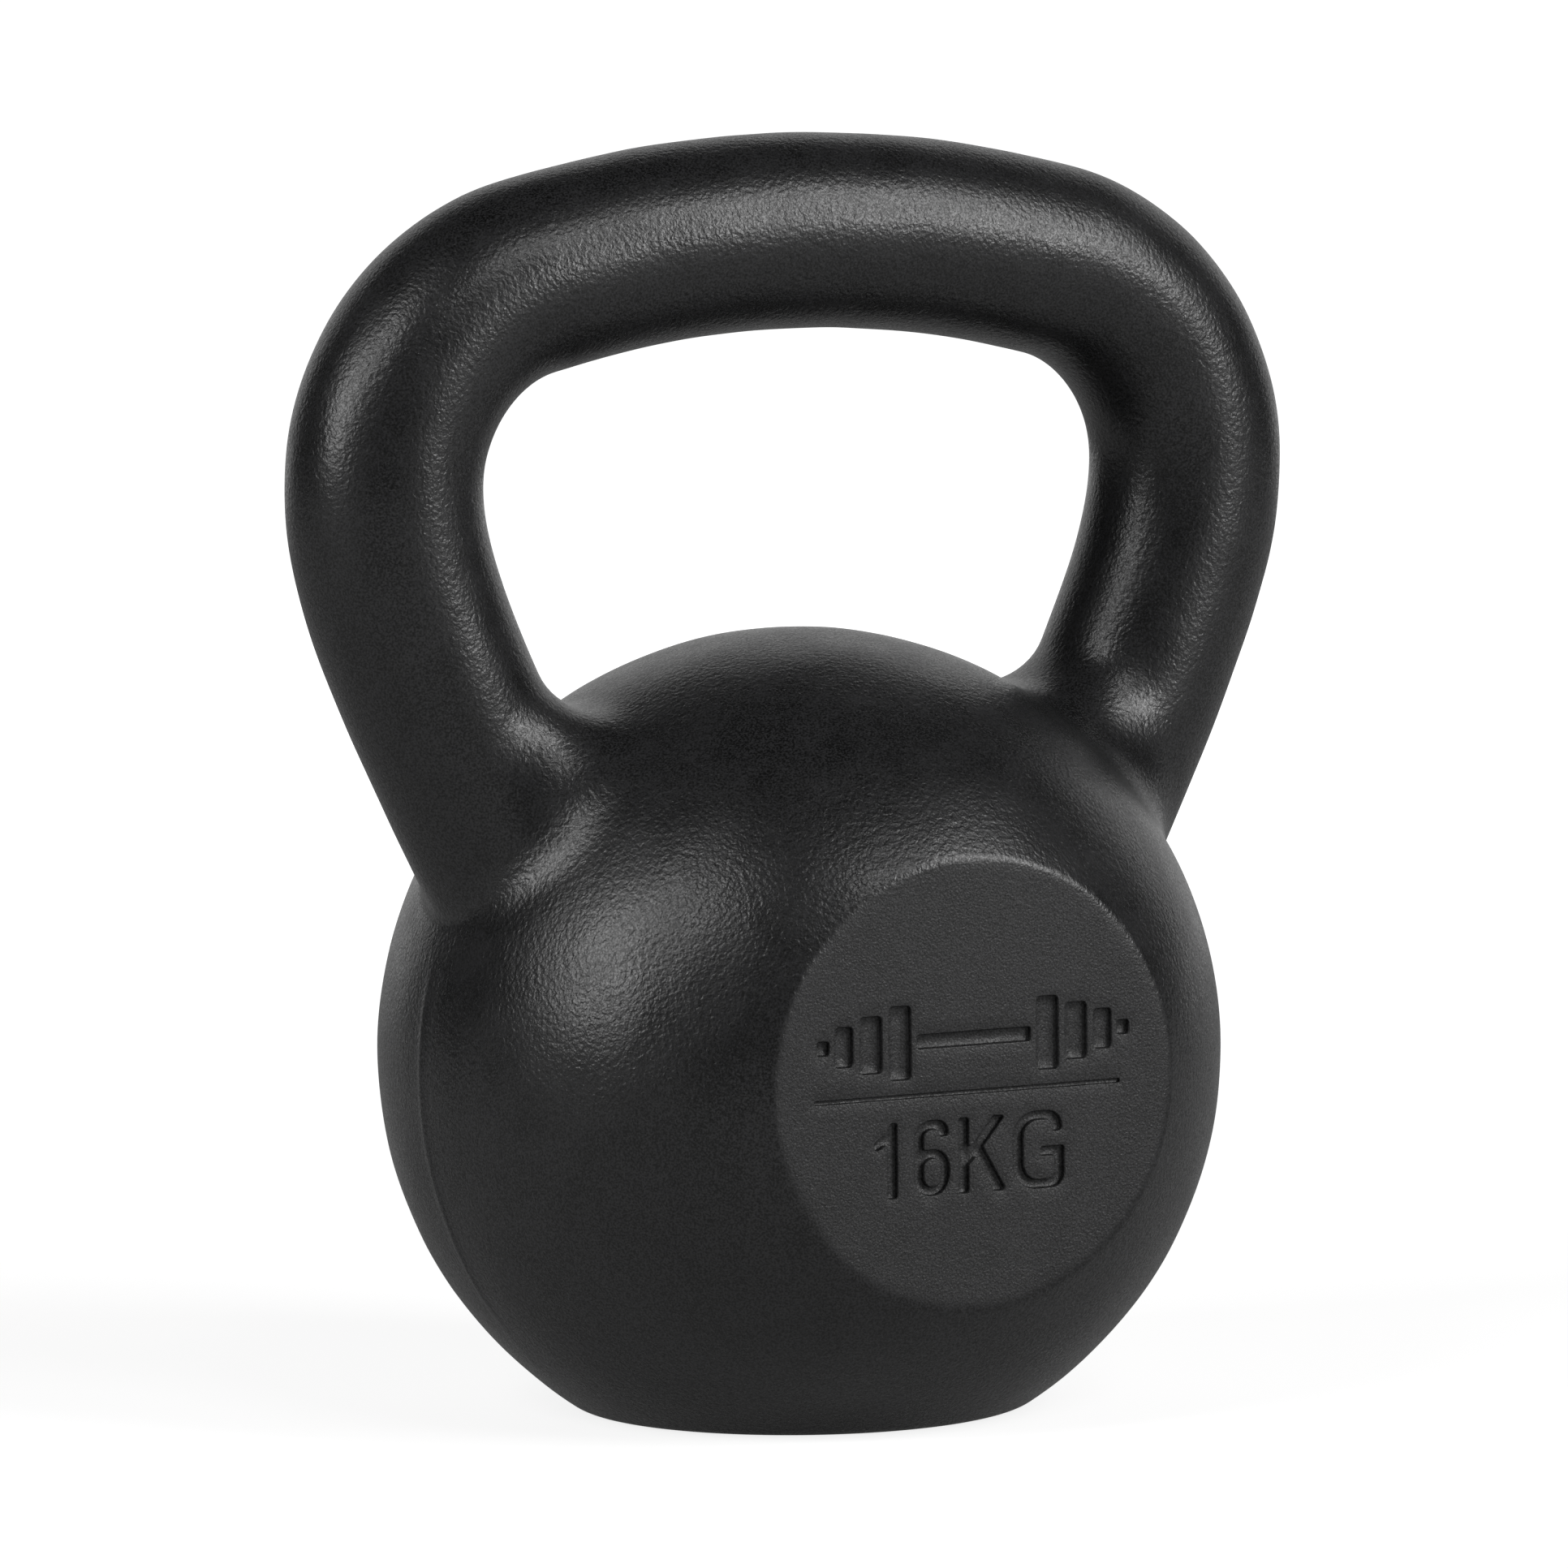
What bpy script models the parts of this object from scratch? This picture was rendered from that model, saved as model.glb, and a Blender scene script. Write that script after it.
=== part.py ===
"""A 16 kg cast-iron kettlebell.

One iron casting makes the bell, the two horns and the grip. A blind bore in its base holds
the bonded iron shot that trims the weight, and a steel disc pressed into the mouth of the
bore closes it. Metres, +Z up. The origin is at the centre of the base, on the floor. The
handle lies in the X-Z plane and the marked face points along -Y.
"""

import math

import bmesh
import bpy
from mathutils import Vector

MM = 0.001

# The bell: a ball with a flat base and a flat face front and back. A cut is how far into the
# ball a flat lies.
BELL_RADIUS = 77.9 * MM
BASE_CUT = 11.9 * MM
FOOT_EDGE_RADIUS = 7.0 * MM
FACE_CUT = 11.6 * MM
FACE_EDGE_RADIUS = 3.0 * MM

# The handle: a round bar. The window is the clear height from the bell's top to the grip. The
# fillets are those at a horn's root: away from the window, front and back, and under it.
BAR_RADIUS = 18.0 * MM
HANDLE_WIDTH = 202.8 * MM
WINDOW_HEIGHT = 54.9 * MM
GRIP_ARCH_RADIUS = 216.5 * MM
SHOULDER_RADIUS = 38.8 * MM
ROOT_ELEVATION = math.radians(37.0)
ROOT_LEAN = math.radians(26.7)
HORN_TOP_REACH = 13.5 * MM
HORN_ROOT_REACH = 36.5 * MM
OUTER_FILLET_RADIUS = 4.5 * MM
SIDE_FILLET_RADIUS = 24.0 * MM
INNER_FILLET_RADIUS = 11.0 * MM
ROOT_DEPTH = 6.0 * MM
ROOT_BITE = 0.3 * MM

# The trim bore, what fills it and what closes it.
BORE_RADIUS = 15.0 * MM
BORE_DEPTH = 48.0 * MM
BORE_CHAMFER = 1.2 * MM
PLUG_THICKNESS = 6.0 * MM
PLUG_RECESS = 1.0 * MM
PLUG_CHAMFER = 0.8 * MM
SEAT_CLEARANCE = 0.3 * MM

# How finely round shapes are divided.
BELL_SEGMENTS = 60
BELL_RINGS = 24
EDGE_RINGS = 4
BAR_SEGMENTS = 28
ARCH_RINGS = 5
SHOULDER_RINGS = 10
HORN_RINGS = 12
FILLET_RINGS = 6
BORE_SEGMENTS = 40

# What follows from the sizes above.
BELL_CENTRE_HEIGHT = BELL_RADIUS - BASE_CUT
FACE_DISTANCE = BELL_RADIUS - FACE_CUT
GRIP_HEIGHT = BELL_CENTRE_HEIGHT + BELL_RADIUS + WINDOW_HEIGHT + BAR_RADIUS
HANDLE_HALF_WIDTH = 0.5 * HANDLE_WIDTH - BAR_RADIUS
BELL_CENTRE = Vector((0.0, 0.0, BELL_CENTRE_HEIGHT))


def clear_scene():
    for thing in list(bpy.data.objects):
        bpy.data.objects.remove(thing, do_unlink=True)


def material(name, colour, metallic, roughness):
    made = bpy.data.materials.new(name)
    made.use_nodes = True
    shader = made.node_tree.nodes["Principled BSDF"]
    shader.inputs["Base Color"].default_value = (*colour, 1.0)
    shader.inputs["Metallic"].default_value = metallic
    shader.inputs["Roughness"].default_value = roughness
    made.diffuse_color = (*colour, 1.0)
    return made


def new_object(name, bm, finish=None):
    """Put a bmesh into the scene as an object, smooth except at its sharp edges."""
    bmesh.ops.remove_doubles(bm, verts=bm.verts, dist=0.00001)
    bmesh.ops.recalc_face_normals(bm, faces=bm.faces)
    mesh = bpy.data.meshes.new(name)
    bm.to_mesh(mesh)
    bm.free()
    mesh.shade_smooth()
    mesh.set_sharp_from_angle(angle=math.radians(35.0))
    made = bpy.data.objects.new(name, mesh)
    bpy.context.scene.collection.objects.link(made)
    if finish is not None:
        mesh.materials.append(finish)
    return made


def new_cutter(name, bm):
    made = new_object(name, bm)
    made.hide_render = True
    made.display_type = "WIRE"
    return made


def boolean(target, tool, operation):
    cut = target.modifiers.new(tool.name, "BOOLEAN")
    cut.object = tool
    cut.operation = operation
    cut.solver = "EXACT"


def arc(centre, radius, start, end, steps):
    """Points on an arc as (across, up); an angle of 0 points across and grows upwards."""
    angles = [start + (end - start) * i / steps for i in range(steps + 1)]
    return [(centre[0] + radius * math.cos(a), centre[1] + radius * math.sin(a)) for a in angles]


def turned(points, segments, axis="Z"):
    """Turn a profile of (radius, along) points, which starts and ends on the axis."""
    bm = bmesh.new()
    if axis == "Z":
        places = [Vector((radius, 0.0, along)) for radius, along in points]
        direction = Vector((0.0, 0.0, 1.0))
    else:
        places = [Vector((radius, along, 0.0)) for radius, along in points]
        direction = Vector((0.0, 1.0, 0.0))
    verts = [bm.verts.new(place) for place in places]
    edges = [bm.edges.new(pair) for pair in zip(verts, verts[1:])]
    bmesh.ops.spin(
        bm,
        geom=verts + edges,
        axis=direction,
        cent=(0.0, 0.0, 0.0),
        steps=segments,
        angle=2.0 * math.pi,
        use_duplicate=False,
    )
    return bm


def bell_profile():
    """The sphere from its top down to the foot, the foot's rounded edge and the flat base."""
    inner = BELL_RADIUS - FOOT_EDGE_RADIUS
    drop = BELL_CENTRE_HEIGHT - FOOT_EDGE_RADIUS
    foot_angle = -math.asin(drop / inner)
    sphere = arc((0.0, BELL_CENTRE_HEIGHT), BELL_RADIUS, math.pi / 2.0, foot_angle, BELL_RINGS)
    edge_centre = (math.sqrt(inner**2 - drop**2), FOOT_EDGE_RADIUS)
    edge = arc(edge_centre, FOOT_EDGE_RADIUS, foot_angle, -math.pi / 2.0, EDGE_RINGS)
    sphere[0] = (0.0, sphere[0][1])
    return sphere + edge[1:] + [(0.0, 0.0)]


def face_cutter(side):
    """What is cut off one side of the bell: all beyond a flat with a rounded rim.

    The rim's arc touches a sphere a hair inside the bell, so that the cut leaves the bell's
    surface at a real, if slight, angle.
    """
    bite = 0.05 * MM
    touched = BELL_RADIUS - bite
    inner = touched - FACE_EDGE_RADIUS
    along = FACE_DISTANCE - FACE_EDGE_RADIUS
    rim_radius = math.sqrt(inner**2 - along**2)
    rim_angle = math.asin(along / inner)
    rim = arc((rim_radius, along), FACE_EDGE_RADIUS, math.pi / 2.0, rim_angle, EDGE_RINGS)
    beyond = 8.0 * MM
    last = rim[-1]
    spread = (last[0] + beyond * math.sin(rim_angle), last[1] - beyond * math.cos(rim_angle))
    outside = BELL_RADIUS + beyond
    profile = [(0.0, FACE_DISTANCE)] + rim + [spread, (spread[0], outside), (0.0, outside)]
    bm = turned([(radius, side * along) for radius, along in profile], BELL_SEGMENTS, "Y")
    bmesh.ops.translate(bm, verts=bm.verts, vec=BELL_CENTRE)
    return new_cutter("front_cut" if side < 0 else "back_cut", bm)


def horn_root():
    """Where the axis of the right-hand horn meets the bell's surface."""
    direction = Vector((math.cos(ROOT_ELEVATION), 0.0, math.sin(ROOT_ELEVATION)))
    return BELL_CENTRE + direction * BELL_RADIUS


def grip_line():
    """The right half of the grip's centreline: its shallow arch, then its shoulder.

    The shoulder's arc touches the arch inside it, and is upright where the handle is widest.
    """
    span = GRIP_ARCH_RADIUS - SHOULDER_RADIUS
    turn = math.asin((HANDLE_HALF_WIDTH - SHOULDER_RADIUS) / span)
    arch_centre = (0.0, GRIP_HEIGHT - GRIP_ARCH_RADIUS)
    shoulder_centre = (span * math.sin(turn), arch_centre[1] + span * math.cos(turn))
    top = math.pi / 2.0
    arch = arc(arch_centre, GRIP_ARCH_RADIUS, top, top - turn, ARCH_RINGS)
    shoulder = arc(shoulder_centre, SHOULDER_RADIUS, top - turn, 0.0, SHOULDER_RINGS)
    line = [Vector((across, 0.0, up)) for across, up in arch + shoulder[1:]]
    line[0].x = 0.0
    return line


def horn_place(start, t):
    """A point on the right-hand horn's centreline and the direction of the line there.

    From 0 to 1 it is a cubic curve, which leaves the shoulder straight down and enters the
    bell at the root's lean. Past 1 it runs straight on into the bell.
    """
    end = horn_root()
    inward = Vector((-math.sin(ROOT_LEAN), 0.0, -math.cos(ROOT_LEAN)))
    if t > 1.0:
        return end + inward * (t - 1.0) * BELL_RADIUS, inward
    first = start - Vector((0.0, 0.0, HORN_TOP_REACH))
    second = end - inward * HORN_ROOT_REACH
    s = 1.0 - t
    point = s**3 * start + 3 * s * s * t * first + 3 * s * t * t * second + t**3 * end
    slope = s * s * (first - start) + 2 * s * t * (second - first) + t * t * (end - second)
    return point, slope.normalized()


def outward_at(along, angle):
    """The direction square to the bar at an angle round it; an angle of 0 faces away from it."""
    front = Vector((0.0, 1.0, 0.0))
    return front.cross(along) * -math.cos(angle) + front * math.sin(angle)


def fillet_radius(angle):
    """The root fillet's radius at an angle round the bar.

    The side radius counts by the sine's square. The other two share the rest by the cosine.
    """
    facing = 0.5 + 0.5 * math.cos(angle)
    in_plane = OUTER_FILLET_RADIUS * facing + INNER_FILLET_RADIUS * (1.0 - facing)
    return SIDE_FILLET_RADIUS * math.sin(angle) ** 2 + in_plane * math.cos(angle) ** 2


def fillet_ball(start, angle):
    """Where a ball rolled round the root rests, at an angle round the bar.

    The ball touches the bar and the bell from outside, so its centre lies one fillet radius
    from both. The place along the horn is found by halving.
    """
    radius = fillet_radius(angle)
    reach = BELL_RADIUS - ROOT_BITE + radius
    above = 0.0
    below = 2.0
    for _ in range(40):
        t = 0.5 * (above + below)
        point, along = horn_place(start, t)
        ball = point + outward_at(along, angle) * (BAR_RADIUS + radius)
        if (ball - BELL_CENTRE).length > reach:
            above = t
        else:
            below = t
    return t, ball, (BELL_CENTRE - ball).normalized()


def horn_column(start, angle):
    """One line of points down the right-hand horn, over its fillet and into the bell."""
    rest, ball, to_bell = fillet_ball(start, angle)
    points = []
    for i in range(1, HORN_RINGS + 1):
        point, along = horn_place(start, rest * i / HORN_RINGS)
        points.append(point + outward_at(along, angle) * BAR_RADIUS)
    to_bar = (points[-1] - ball).normalized()
    radius = fillet_radius(angle)
    for i in range(1, FILLET_RINGS + 1):
        points.append(ball + to_bar.slerp(to_bell, i / FILLET_RINGS) * radius)
    points.append(points[-1] + to_bell * ROOT_DEPTH)
    return points


def half_rings():
    """The rings of the handle's right half, from the middle of the grip into the bell."""
    grip = grip_line()
    angles = [2.0 * math.pi * i / BAR_SEGMENTS for i in range(BAR_SEGMENTS)]
    rings = []
    for i, point in enumerate(grip):
        before = grip[i - 1] if i else Vector((-grip[1].x, 0.0, grip[1].z))
        after = grip[i + 1] if i + 1 < len(grip) else point - Vector((0.0, 0.0, 1.0))
        along = (after - point).normalized() + (point - before).normalized()
        along.normalize()
        if i + 1 == len(grip):
            along = Vector((0.0, 0.0, -1.0))
        rings.append([point + outward_at(along, angle) * BAR_RADIUS for angle in angles])
    columns = [horn_column(grip[-1], angle) for angle in angles]
    return rings + [list(ring) for ring in zip(*columns)]


def handle_mesh():
    """The whole bar, from root to root, with its ends closed inside the bell."""
    right = half_rings()
    left = [[Vector((-point.x, point.y, point.z)) for point in ring] for ring in right[1:]]
    bm = bmesh.new()
    rings = [[bm.verts.new(point) for point in ring] for ring in left[::-1] + right]
    for first, second in zip(rings, rings[1:]):
        for i in range(BAR_SEGMENTS):
            j = (i + 1) % BAR_SEGMENTS
            bm.faces.new((first[i], first[j], second[j], second[i]))
    for ring in (rings[0], rings[-1]):
        middle = sum((vert.co for vert in ring), Vector()) / BAR_SEGMENTS
        tip = bm.verts.new(middle)
        for i in range(BAR_SEGMENTS):
            bm.faces.new((ring[i], ring[(i + 1) % BAR_SEGMENTS], tip))
    return bm


def bore_cutter():
    """The blind bore with its chamfered mouth, run a little past the base."""
    past = 2.0 * MM
    mouth = BORE_RADIUS + BORE_CHAMFER
    points = [
        (0.0, BORE_DEPTH),
        (BORE_RADIUS, BORE_DEPTH),
        (BORE_RADIUS, BORE_CHAMFER),
        (mouth + past, -past),
        (0.0, -past),
    ]
    return new_cutter("bore_cut", turned(points, BORE_SEGMENTS))


def make_casting(finish):
    casting = new_object("bell_casting", turned(bell_profile(), BELL_SEGMENTS), finish)
    for side in (-1, 1):
        boolean(casting, face_cutter(side), "DIFFERENCE")
    boolean(casting, new_cutter("handle_bar", handle_mesh()), "UNION")
    boolean(casting, bore_cutter(), "DIFFERENCE")
    return casting


def make_trim_shot(finish):
    """The bonded shot: it fills the bore above the plug."""
    radius = BORE_RADIUS - SEAT_CLEARANCE
    bottom = PLUG_RECESS + PLUG_THICKNESS + SEAT_CLEARANCE
    top = BORE_DEPTH - SEAT_CLEARANCE
    points = [(0.0, top), (radius, top), (radius, bottom), (0.0, bottom)]
    return new_object("trim_shot", turned(points, BORE_SEGMENTS), finish)


def make_base_plug(finish):
    """A flat steel disc with chamfered edges, pressed in until it is clear of the floor."""
    radius = BORE_RADIUS - SEAT_CLEARANCE
    top = PLUG_RECESS + PLUG_THICKNESS
    points = [
        (0.0, top),
        (radius - PLUG_CHAMFER, top),
        (radius, top - PLUG_CHAMFER),
        (radius, PLUG_RECESS + PLUG_CHAMFER),
        (radius - PLUG_CHAMFER, PLUG_RECESS),
        (0.0, PLUG_RECESS),
    ]
    return new_object("base_plug", turned(points, BORE_SEGMENTS), finish)


def main():
    clear_scene()
    make_casting(material("black_powder_coat", (0.022, 0.022, 0.023), 0.0, 0.48))
    make_trim_shot(material("bonded_iron_shot", (0.09, 0.085, 0.08), 0.6, 0.7))
    make_base_plug(material("coated_steel_plug", (0.03, 0.03, 0.031), 0.0, 0.5))


main()
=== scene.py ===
"""The looks of a 16 kg cast-iron kettlebell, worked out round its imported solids.

The casting's fine surface is one closed mesh: a ball with flats, a round bar that runs into
it through rolled fillets, a base with its bore, and marks cut into the front flat. The plug
and the studio are made here too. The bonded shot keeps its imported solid. Metres, +Z up.
"""

import math

import bmesh
import bpy
import numpy as np
from bpy.props import FloatProperty, FloatVectorProperty, IntProperty, PointerProperty
from mathutils import Matrix, Vector
from mathutils.geometry import delaunay_2d_cdt


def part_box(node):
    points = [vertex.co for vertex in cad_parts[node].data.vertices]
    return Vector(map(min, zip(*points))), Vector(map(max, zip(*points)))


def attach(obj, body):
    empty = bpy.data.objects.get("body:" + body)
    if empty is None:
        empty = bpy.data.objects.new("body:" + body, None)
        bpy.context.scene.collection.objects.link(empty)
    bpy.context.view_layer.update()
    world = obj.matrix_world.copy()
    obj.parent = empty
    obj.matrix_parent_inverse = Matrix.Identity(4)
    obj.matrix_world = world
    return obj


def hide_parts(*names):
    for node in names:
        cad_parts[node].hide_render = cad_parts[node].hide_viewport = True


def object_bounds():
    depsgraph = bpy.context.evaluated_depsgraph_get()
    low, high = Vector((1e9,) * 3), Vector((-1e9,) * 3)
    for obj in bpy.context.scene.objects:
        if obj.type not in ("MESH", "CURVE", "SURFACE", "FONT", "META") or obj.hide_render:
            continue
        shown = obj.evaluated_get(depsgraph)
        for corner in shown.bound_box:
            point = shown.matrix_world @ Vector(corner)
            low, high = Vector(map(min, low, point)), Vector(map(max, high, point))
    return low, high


bl_info = {
    "name": "Kettlebell Looks",
    "version": (1, 0, 0),
    "blender": (4, 5, 0),
    "location": "View3D > Sidebar > Kettlebell",
    "description": "Fine cast and coated surfaces round a kettlebell's solids, with a studio",
    "category": "Add Mesh",
}

MM = 0.001
FULL_TURN = 2.0 * math.pi

# The bore: the gap round its plug and shot, and the chamfers of its mouth and of the plug.
SEAT_CLEARANCE = 0.3 * MM
BORE_CHAMFER = 1.2 * MM
PLUG_CHAMFER = 0.8 * MM

# The rings that the lathe left on the plug, and the parting line's width from its middle.
TURNING_PITCH = 0.72 * MM
TURNING_DEPTH = 0.05 * MM
PARTING_WIDTH = 1.1 * MM

# Within this distance of the upright axis the underside is free of dents.
BORE_SURROUND = 17.0 * MM

# How far from a port's axis the holes that the bell's grid leaves round it can lie.
PORT_REACH = math.radians(48.0)

# Rows over a fillet at a horn's root, and over the rounding of a flat's rim.
FILLET_ROWS = 14
RIM_ROWS = 9

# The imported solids, and the sizes that they give.
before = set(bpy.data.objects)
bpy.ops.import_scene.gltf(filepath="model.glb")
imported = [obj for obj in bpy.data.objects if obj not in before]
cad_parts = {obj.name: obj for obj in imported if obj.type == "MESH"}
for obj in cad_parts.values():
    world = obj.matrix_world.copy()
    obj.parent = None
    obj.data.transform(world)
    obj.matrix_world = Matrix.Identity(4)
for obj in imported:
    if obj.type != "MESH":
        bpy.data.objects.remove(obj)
CAD_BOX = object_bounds()
CASTING_LOW, CASTING_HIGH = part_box("bell_casting")
PLUG_LOW, PLUG_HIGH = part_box("base_plug")
SHOT_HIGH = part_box("trim_shot")[1]


def length_prop(name, description, millimetres):
    return FloatProperty(
        name=name, description=description, default=millimetres * MM, unit="LENGTH"
    )


def angle_prop(name, description, degrees):
    return FloatProperty(
        name=name, description=description, default=math.radians(degrees), subtype="ANGLE"
    )


def share_prop(name, description, value):
    return FloatProperty(name=name, description=description, default=value, subtype="FACTOR")


def colour_prop(name, description, value):
    return FloatVectorProperty(
        name=name, description=description, default=value, subtype="COLOR"
    )


def count_prop(name, description, value, least):
    return IntProperty(name=name, description=description, default=value, min=least)


class KettlebellShape(bpy.types.PropertyGroup):
    """The driving sizes of the casting that its box alone doesn't give."""

    bell_radius: length_prop("Bell radius", "Radius of the ball", 77.9)
    base_cut: length_prop("Base cut", "How far into the ball the base lies", 11.9)
    foot_edge: length_prop(
        "Foot edge", "Radius of the rounding between the ball and its base", 7.0
    )
    face_edge: length_prop("Face edge", "Radius of the rounding round each flat face", 3.0)
    bar_radius: length_prop("Bar radius", "Radius of the handle's round bar", 18.0)
    arch_radius: length_prop(
        "Grip arch", "Radius of the grip's shallow arch, at the bar's middle", 216.5
    )
    shoulder_radius: length_prop("Shoulder", "Radius of each shoulder, at the bar's middle", 38.8)
    root_elevation: angle_prop(
        "Root elevation", "How high on the ball each horn ends, seen from the ball's centre", 37.0
    )
    root_lean: angle_prop(
        "Root lean", "How far each horn leans from upright where it meets the ball", 26.7
    )
    horn_top_reach: length_prop(
        "Horn top reach", "How far the horn's curve follows the shoulder straight down", 13.5
    )
    horn_root_reach: length_prop(
        "Horn root reach", "How far the horn's curve follows the root's lean", 36.5
    )
    outer_fillet: length_prop(
        "Outer fillet", "Radius of the fillet at a horn's root, on the side away from the window", 4.5
    )
    side_fillet: length_prop(
        "Side fillet", "Radius of the fillet at a horn's root, at its front and its back", 24.0
    )
    inner_fillet: length_prop(
        "Inner fillet", "Radius of the fillet at a horn's root, under the window", 11.0
    )
    parting_height: length_prop(
        "Parting line", "Height of the line that the two halves of the mould leave on the ball", 0.26
    )
    dent_depth: length_prop("Dents", "Depth of the soft unevenness of the cast surface", 0.16)
    mark_depth: length_prop("Mark depth", "How deep the marks are cut into the front face", 1.0)


class KettlebellFinish(bpy.types.PropertyGroup):
    """The colours and the sheen of the finishes."""

    coat_colour: colour_prop(
        "Powder coat", "Colour of the black powder coat", (0.0115, 0.0115, 0.012)
    )
    coat_roughness: share_prop(
        "Coat roughness", "Roughness of the powder coat on the ball and the handle", 0.33
    )
    face_roughness: share_prop(
        "Face roughness", "Roughness of the powder coat on the flat faces", 0.50
    )
    peel_size: length_prop("Orange peel", "Size of the small waves in the coat", 0.9)
    peel_height: length_prop("Peel height", "Height of the small waves in the coat", 0.06)
    iron_colour: colour_prop(
        "Bonded shot", "Colour of the iron shot in its resin", (0.09, 0.085, 0.08)
    )
    floor_colour: colour_prop("Floor", "Colour of the studio's floor", (0.36, 0.36, 0.36))


class KettlebellDetail(bpy.types.PropertyGroup):
    """How finely the surfaces are divided."""

    bell_columns: count_prop("Bell columns", "Columns round the ball", 288, 48)
    bell_step: length_prop("Bell step", "Distance between the rows on the ball", 1.65)
    bar_columns: count_prop("Bar columns", "Columns round the bar", 96, 24)
    bar_step: length_prop("Bar step", "Distance between the rows along the bar", 1.45)
    base_columns: count_prop("Base columns", "Columns round the base and its bore", 192, 48)


# Grids and meshes


def together(*parts):
    """Arrays or numbers, stretched to one shape, as the last axis of one array."""
    return np.stack(np.broadcast_arrays(*parts), axis=-1)


class Patchwork:
    """Vertices and faces gathered from several grids, to be sewn into one mesh."""

    def __init__(self):
        self.points = []
        self.faces = []
        self.count = 0

    def add_points(self, points):
        """Takes an array whose last axis is x, y, z and returns its vertex numbers."""
        flat = points.reshape(-1, 3)
        numbers = np.arange(self.count, self.count + len(flat)).reshape(points.shape[:-1])
        self.points.append(flat)
        self.count += len(flat)
        return numbers

    def add_grid(self, points, keep=None):
        """A grid of rows by columns whose columns close on themselves.

        Each face joins a point with its neighbours one row and one column on. Where keep is
        false for any corner, the face is left out.
        """
        numbers = self.add_points(points)
        beside = np.roll(numbers, -1, axis=1)
        quads = together(numbers[:-1], numbers[1:], beside[1:], beside[:-1])
        if keep is not None:
            next_keep = np.roll(keep, -1, axis=1)
            whole = keep[:-1] & keep[1:] & next_keep[1:] & next_keep[:-1]
            quads = quads[whole]
        self.faces.append(quads.reshape(-1, 4))
        return numbers

    def close_end(self, ring, point):
        """A fan of triangles from a ring of vertices to one point."""
        tip = self.add_points(np.asarray(point, float).reshape(1, 3))[0]
        self.faces.append(together(ring, np.roll(ring, -1), tip))

    def gathered(self):
        return np.concatenate(self.points)

    def open_sides(self, quads):
        """The sides of some faces that only one of them has, as pairs of vertex numbers."""
        sides = together(quads, np.roll(quads, -1, axis=1)).reshape(-1, 2)
        forward = sides[:, 0] * self.count + sides[:, 1]
        backward = sides[:, 1] * self.count + sides[:, 0]
        return sides[~np.isin(forward, backward)]

    def to_bmesh(self):
        """One bmesh of every grid; vertices that no face uses are still in it."""
        faces = [face for group in self.faces for face in group.tolist()]
        mesh = bpy.data.meshes.new("patchwork")
        mesh.from_pydata(self.gathered().tolist(), [], faces)
        bm = bmesh.new()
        bm.from_mesh(mesh)
        bpy.data.meshes.remove(mesh)
        return bm


def ring_sides(ring):
    """The sides of a closed ring of vertex numbers, as pairs."""
    return together(ring, np.roll(ring, -1))


def enclosed(places, starts, ends):
    """True where a flat place has an odd number of sides straight to its right.

    So a place between an outline and a hole in it counts, and one in the hole doesn't.
    """
    inside = np.zeros(len(places), bool)
    for (ax, ay), (bx, by) in zip(starts, ends):
        if ay == by:
            continue
        beside = (ay > places[:, 1]) != (by > places[:, 1])
        inside ^= beside & (places[:, 0] < ax + (places[:, 1] - ay) / (by - ay) * (bx - ax))
    return inside


def sew(work, sides, flatten, filler=None):
    """Fills what closed rings of sides enclose with well-shaped triangles.

    The vertices are laid flat, and joined so that no triangle's circle holds another vertex.
    Filler vertices may lie between the rings; the function gives them from the flat rings.
    """
    numbers, ends = np.unique(sides, return_inverse=True)
    ends = ends.reshape(sides.shape)
    flat = flatten(work.gathered()[numbers])
    if filler is not None:
        extra_flat, extra = filler(flat, flat[ends[:, 0]], flat[ends[:, 1]])
        numbers = np.concatenate([numbers, work.add_points(extra)])
        flat = np.concatenate([flat, extra_flat])
    scale = 1.0 / np.abs(flat).max()
    places = [Vector(place) for place in (flat * scale).tolist()]
    made = delaunay_2d_cdt(places, ends.tolist(), [], 0, 1e-9)
    if len(made[0]) != len(places):
        raise RuntimeError("two rings to be sewn together cross each other")
    order = np.array([source[0] for source in made[3]])
    triangles = order[np.array(made[2])]
    wanted = enclosed(flat[triangles].mean(axis=1), flat[ends[:, 0]], flat[ends[:, 1]])
    work.faces.append(numbers[triangles[wanted]])


def finished_object(name, bm, finish):
    """Turns a bmesh into an object at the origin, smooth and with its faces outwards."""
    bmesh.ops.delete(bm, geom=[v for v in bm.verts if not v.link_faces], context="VERTS")
    bmesh.ops.recalc_face_normals(bm, faces=bm.faces)
    mesh = bpy.data.meshes.new(name)
    bm.to_mesh(mesh)
    bm.free()
    mesh.shade_smooth()
    mesh.materials.append(finish)
    made = bpy.data.objects.new(name, mesh)
    bpy.context.scene.collection.objects.link(made)
    return made


def read_points(mesh):
    points = np.empty(len(mesh.vertices) * 3)
    mesh.vertices.foreach_get("co", points)
    return points.reshape(-1, 3)


def write_points(mesh, points):
    mesh.vertices.foreach_set("co", points.ravel())
    mesh.update()


def unit(vectors):
    return vectors / np.linalg.norm(vectors, axis=-1, keepdims=True)


def blend(value, low, high):
    """Runs from 0 at low to 1 at high along a smooth cubic step."""
    t = np.clip((value - low) / (high - low), 0.0, 1.0)
    return t * t * (3.0 - 2.0 * t)


# The ball


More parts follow.
